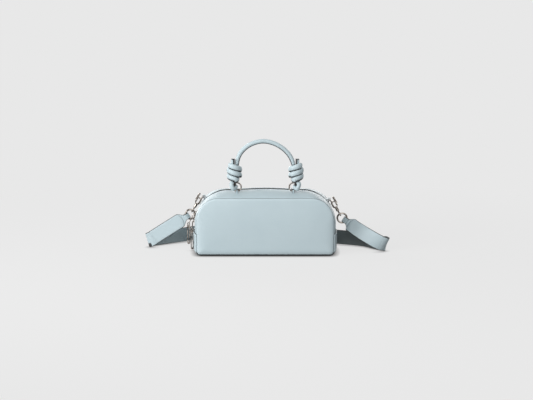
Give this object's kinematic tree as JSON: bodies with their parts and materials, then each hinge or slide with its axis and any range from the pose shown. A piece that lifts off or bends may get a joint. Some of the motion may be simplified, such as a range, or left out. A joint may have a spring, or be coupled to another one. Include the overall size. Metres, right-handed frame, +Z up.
{
  "type": "bowling bag",
  "caption": "Small arched leather handbag with a zip over the top, a short knotted handle on rings and a clip-on shoulder strap whose spare length lies folded behind it.",
  "frame": {"origin": "middle of the base underside, on the surface that the bag stands on", "axes": "+X along the zip to the right as seen from the front, +Y to the back, +Z up"},
  "size_m": [0.4046, 0.1475, 0.1886],
  "materials": {
    "leather": "smooth pale blue-grey leather with a soft sheen",
    "lining": "matt woven lining",
    "board": "stiff fibre board",
    "zip_tape": "woven zip tape",
    "zip_metal": "satin metal",
    "metal": "polished silver metal"
  },
  "bodies": {
    "bag": {"front_panel": "leather", "rear_panel": "leather", "base_gusset": "leather", "zip_placket_front": "leather", "zip_placket_rear": "leather", "lining": "lining", "base_board": "board", "zip_tape_front": "zip_tape", "zip_tape_rear": "zip_tape", "zip_teeth_front": "zip_metal", "zip_teeth_rear": "zip_metal", "zip_stop_left": "zip_metal", "zip_stop_right": "zip_metal", "handle_ring_tab_left": "leather", "handle_ring_tab_right": "leather", "d_ring_tab_left": "leather", "d_ring_tab_right": "leather", "shoulder_strap_left": "leather", "shoulder_strap_hank": "leather", "shoulder_strap_right": "leather", "strap_tie": "leather"},
    "slider_lower": {"zip_slider_lower": "metal"},
    "slider_upper": {"zip_slider_upper": "metal"},
    "link_lower": {"pull_link_lower": "metal"},
    "link_upper": {"pull_link_upper": "metal"},
    "drop_lower": {"pull_drop_lower": "metal"},
    "drop_upper": {"pull_drop_upper": "metal"},
    "ring_left": {"handle_ring_left": "metal"},
    "ring_right": {"handle_ring_right": "metal"},
    "handle": {"handle": "leather"},
    "clip_left": {"d_ring_left": "metal", "hook_swivel_left": "metal", "strap_ring_left": "metal"},
    "clip_right": {"d_ring_right": "metal", "hook_swivel_right": "metal", "strap_ring_right": "metal"},
    "hook_left": {"hook_left": "metal"},
    "hook_right": {"hook_right": "metal"},
    "gate_left": {"hook_gate_left": "metal"},
    "gate_right": {"hook_gate_right": "metal"}
  },
  "joints": [
    {"name": "zip_lower_travel", "type": "hinge", "parent": "bag", "child": "slider_lower", "pos_m": [-0.0605, 0, 0.0475], "axis": [0, 1, 0], "range_deg": [0, 30]},
    {"name": "zip_upper_travel", "type": "hinge", "parent": "slider_lower", "child": "slider_upper", "pos_m": [-0.0605, 0, 0.0475], "axis": [0, 1, 0], "range_deg": [0, 35]},
    {"name": "pull_upper_swing", "type": "hinge", "parent": "slider_upper", "child": "link_upper", "pos_m": [-0.11712, 0, 0.0639], "axis": [0, 1, 0], "range_deg": [0, 80]},
    {"name": "pull_lower_swing", "type": "hinge", "parent": "slider_lower", "child": "link_lower", "pos_m": [-0.11937, 0, 0.05058], "axis": [0, 1, 0], "range_deg": [0, 80]},
    {"name": "drop_upper_swing", "type": "hinge", "parent": "link_upper", "child": "drop_upper", "pos_m": [-0.1263, 0, 0.04501], "axis": [0, 1, 0], "range_deg": [0, 60]},
    {"name": "drop_lower_swing", "type": "hinge", "parent": "link_lower", "child": "drop_lower", "pos_m": [-0.1207, 0, 0.03615], "axis": [0, 1, 0], "range_deg": [0, 60]},
    {"name": "handle_ring_left_tip", "type": "hinge", "parent": "bag", "child": "ring_left", "pos_m": [-0.0456, -0.02468, 0.10389], "axis": [1, 0, 0], "range_deg": [-25, 25]},
    {"name": "handle_ring_right_tip", "type": "hinge", "parent": "bag", "child": "ring_right", "pos_m": [0.0456, -0.02468, 0.10389], "axis": [1, 0, 0], "range_deg": [-25, 25]},
    {"name": "handle_swing", "type": "hinge", "parent": "ring_left", "child": "handle", "pos_m": [0, -0.02468, 0.11069], "axis": [1, 0, 0], "range_deg": [-12, 15]},
    {"name": "clip_left_swing", "type": "hinge", "parent": "bag", "child": "clip_left", "pos_m": [-0.10161, 0.018, 0.08834], "axis": [0, 1, 0], "range_deg": [0, 35], "deforming": ["shoulder_strap_left"]},
    {"name": "clip_right_swing", "type": "hinge", "parent": "bag", "child": "clip_right", "pos_m": [0.10614, 0.018, 0.08322], "axis": [0, -1, 0], "range_deg": [0, 35], "deforming": ["shoulder_strap_right"]},
    {"name": "hook_left_turn", "type": "hinge", "parent": "clip_left", "child": "hook_left", "pos_m": [-0.10938, 0.018, 0.08269], "axis": [-0.515, 0, -0.8572], "range_deg": [-18, 18]},
    {"name": "hook_right_turn", "type": "hinge", "parent": "clip_right", "child": "hook_right", "pos_m": [0.11316, 0.018, 0.07667], "axis": [0.5, 0, -0.866], "range_deg": [-18, 18]},
    {"name": "gate_left_open", "type": "hinge", "parent": "hook_left", "child": "gate_left", "pos_m": [-0.11547, 0.018, 0.07982], "axis": [0, 1, 0], "range_deg": [0, 10], "stiffness_Nm_per_rad": 0.02, "springref_deg": -17.19},
    {"name": "gate_right_open", "type": "hinge", "parent": "hook_right", "child": "gate_right", "pos_m": [0.11921, 0.018, 0.0737], "axis": [0, -1, 0], "range_deg": [0, 10], "stiffness_Nm_per_rad": 0.02, "springref_deg": -17.19}
  ],
  "couplings": [
    {"joint": "pull_lower_swing", "follows": "pull_upper_swing", "ratio": 1},
    {"joint": "drop_lower_swing", "follows": "drop_upper_swing", "ratio": 1},
    {"joint": "handle_ring_right_tip", "follows": "handle_ring_left_tip", "ratio": 1}
  ]
}
